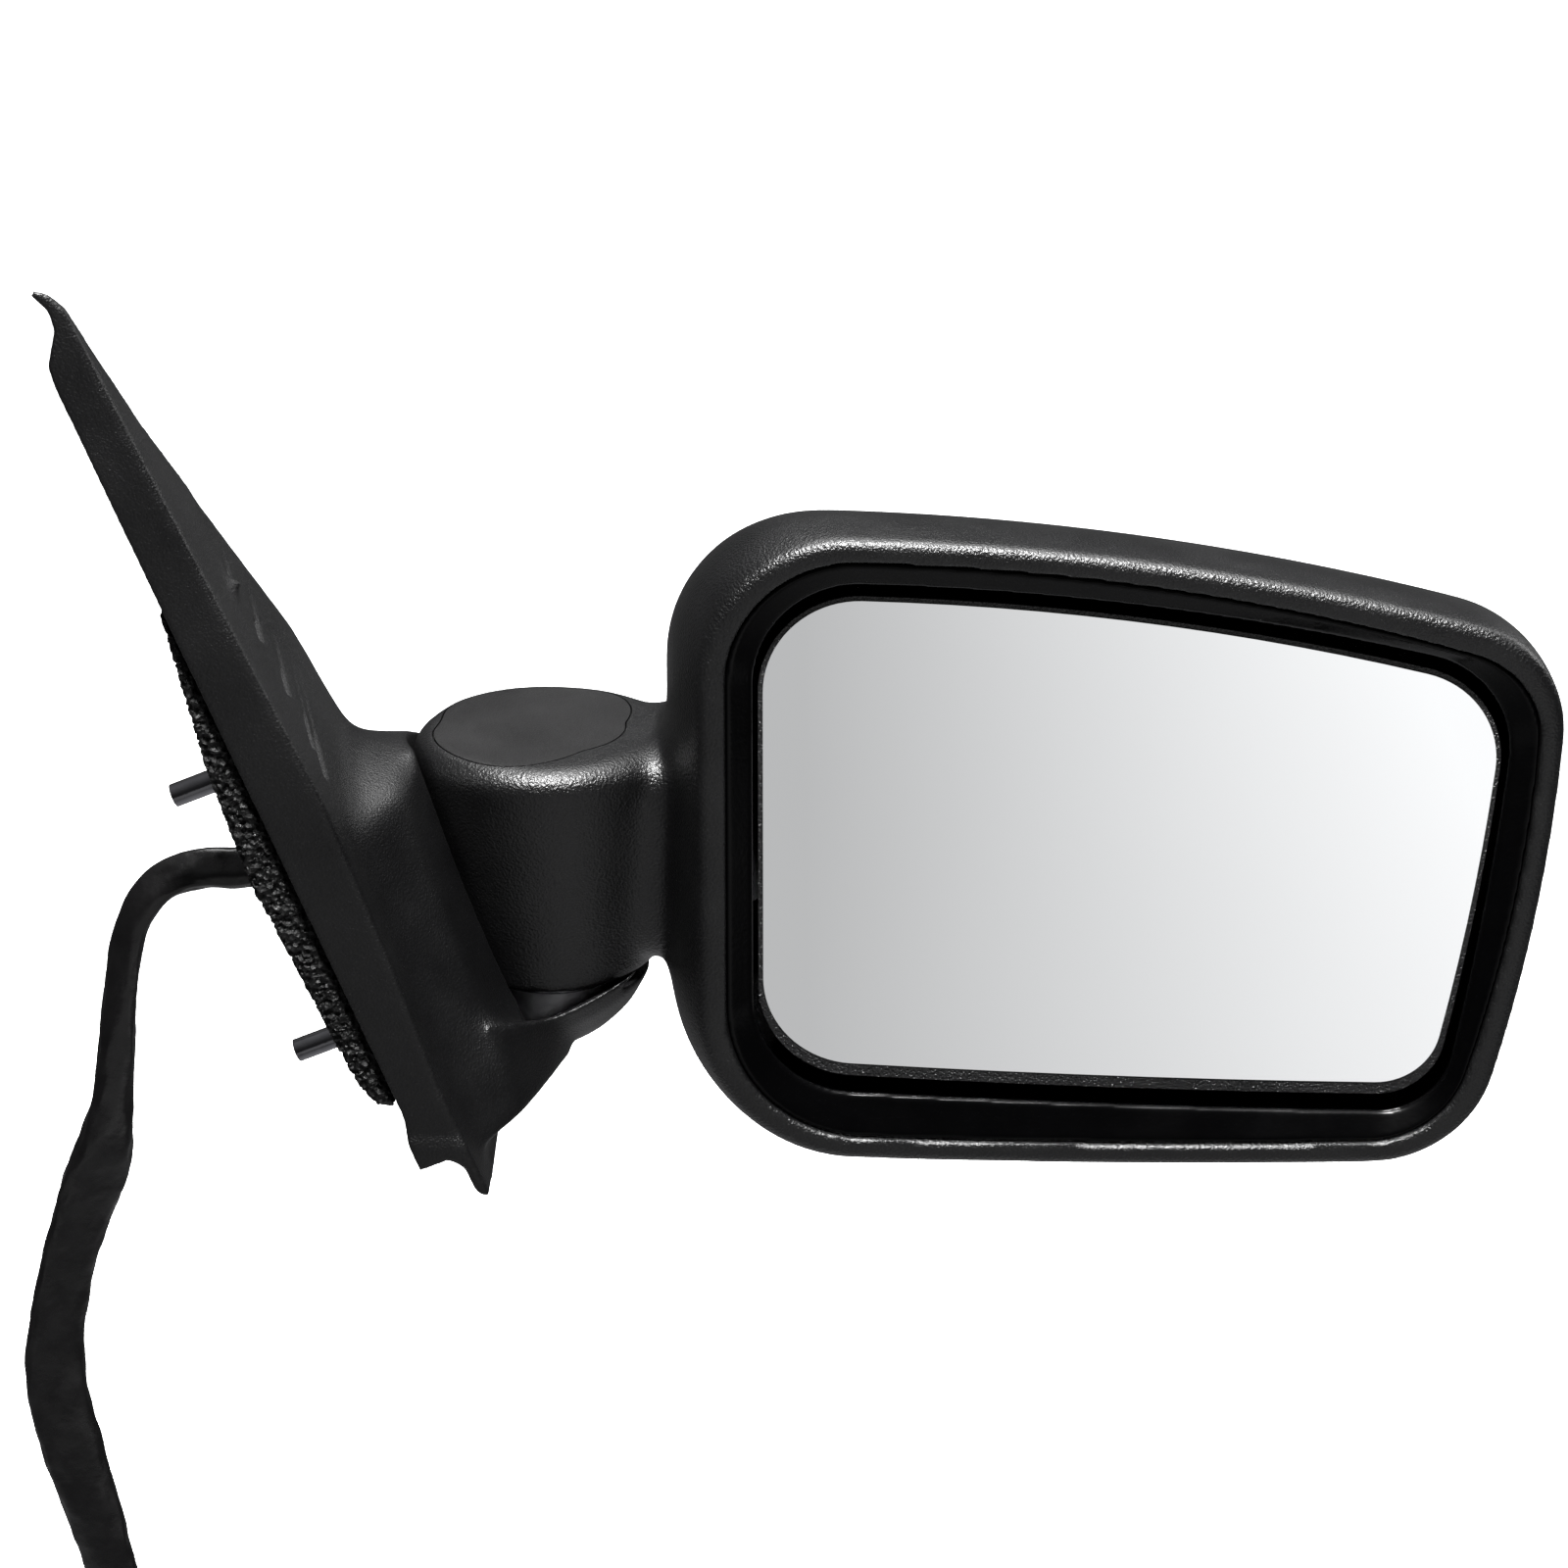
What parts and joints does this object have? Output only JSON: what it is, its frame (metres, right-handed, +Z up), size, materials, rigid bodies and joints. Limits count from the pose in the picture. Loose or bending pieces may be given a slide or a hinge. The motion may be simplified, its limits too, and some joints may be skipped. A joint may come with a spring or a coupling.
{
  "type": "car side mirror",
  "caption": "Powered right-hand door mirror: folding head on a sail base, heated glass on a two-axis swivel, door studs and a hanging harness with connector.",
  "frame": {"origin": "axis of the upper door stud where it crosses the door's mounting plane", "axes": "+X outboard, away from the car; +Y to the front of the car, the glass faces -Y; +Z up"},
  "size_m": [0.3948, 0.112, 0.4712],
  "materials": {
    "shell_plastic": "fine grained, satin",
    "bezel_plastic": "smooth, semi-gloss",
    "cap_plastic": "fine matte",
    "sail_plastic": "fine matte",
    "foam": "open cell foam",
    "steel": "zinc plated",
    "cast_metal": "as cast",
    "detent_steel": "greased",
    "bush_plastic": "natural acetal",
    "case_plastic": "fine matte",
    "gear_plastic": "natural acetal",
    "brass": "machined",
    "motor_can": "nickel plated",
    "holder_plastic": "grained",
    "heater": "printed film",
    "mirror_glass": "first surface silver",
    "rubber": "satin",
    "vinyl": "satin, wrinkled",
    "tape": "cloth tape",
    "plug_plastic": "fine matte",
    "terminal": "tinned"
  },
  "bodies": {
    "door_base": {"sail_cover": "sail_plastic", "base_bracket": "cast_metal", "mounting_studs": "steel", "base_screws": "steel", "foam_gasket": "foam", "harness_grommet": "rubber", "pivot_tube": "steel", "detent_ring_lower": "detent_steel", "spring_retainer": "steel", "fold_spring": "steel", "cable_sleeve": "vinyl", "sleeve_tape": "tape", "connector_housing": "plug_plastic", "connector_pins": "terminal"},
    "head": {"head_shell": "shell_plastic", "pivot_cap": "cap_plastic", "bezel": "bezel_plastic", "head_bracket": "cast_metal", "bracket_screws": "steel", "actuator_case": "case_plastic", "actuator_cover": "case_plastic", "actuator_screws": "steel", "detent_ring_upper": "detent_steel", "pivot_bush": "bush_plastic", "spring_washer": "steel", "motor_pan": "motor_can", "motor_tilt": "motor_can", "worm_pan": "brass", "worm_tilt": "brass"},
    "pan_ring": {"pan_ring": "gear_plastic"},
    "glass": {"glass_holder": "holder_plastic", "heater_pad": "heater", "mirror_glass": "mirror_glass"},
    "plunger_pan": {"plunger_pan": "gear_plastic"},
    "plunger_tilt": {"plunger_tilt": "gear_plastic"},
    "gear_pan": {"gear_pan": "gear_plastic"},
    "gear_tilt": {"gear_tilt": "gear_plastic"},
    "connector_latch": {"connector_latch": "plug_plastic"}
  },
  "joints": [
    {"name": "head_fold", "type": "hinge", "parent": "door_base", "child": "head", "pos_m": [0.0695, 0.04, -0.04], "axis": [0, 0, 1], "range_deg": [-60, 50]},
    {"name": "glass_pan", "type": "hinge", "parent": "head", "child": "pan_ring", "pos_m": [0.215, 0.025, -0.027], "axis": [0, 0, 1], "range_deg": [-8, 8]},
    {"name": "glass_tilt", "type": "hinge", "parent": "pan_ring", "child": "glass", "pos_m": [0.215, 0.025, -0.027], "axis": [1, 0, 0], "range_deg": [-8, 8]},
    {"name": "plunger_pan_slide", "type": "slide", "parent": "head", "child": "plunger_pan", "axis": [0, 1, 0], "range_m": [-0.0045, 0.0045]},
    {"name": "plunger_tilt_slide", "type": "slide", "parent": "head", "child": "plunger_tilt", "axis": [0, 1, 0], "range_m": [-0.0045, 0.0045]},
    {"name": "gear_pan_spin", "type": "hinge", "parent": "head", "child": "gear_pan", "pos_m": [0.185, 0.047, -0.027], "axis": [0, 1, 0], "range_deg": [-400, 400]},
    {"name": "gear_tilt_spin", "type": "hinge", "parent": "head", "child": "gear_tilt", "pos_m": [0.215, 0.047, -0.057], "axis": [0, 1, 0], "range_deg": [-400, 400]},
    {"name": "latch_press", "type": "hinge", "parent": "door_base", "child": "connector_latch", "pos_m": [-0.05177, 0.022, -0.3282], "axis": [0, 1, 0], "range_deg": [0, 5], "stiffness_Nm_per_rad": 0.05, "springref_deg": -1.15}
  ],
  "couplings": [
    {"joint": "plunger_pan_slide", "follows": "glass_pan", "m_per_rad": -0.03},
    {"joint": "plunger_tilt_slide", "follows": "glass_tilt", "m_per_rad": 0.03},
    {"joint": "gear_pan_spin", "follows": "glass_pan", "ratio": -47.124},
    {"joint": "gear_tilt_spin", "follows": "glass_tilt", "ratio": 47.124}
  ]
}
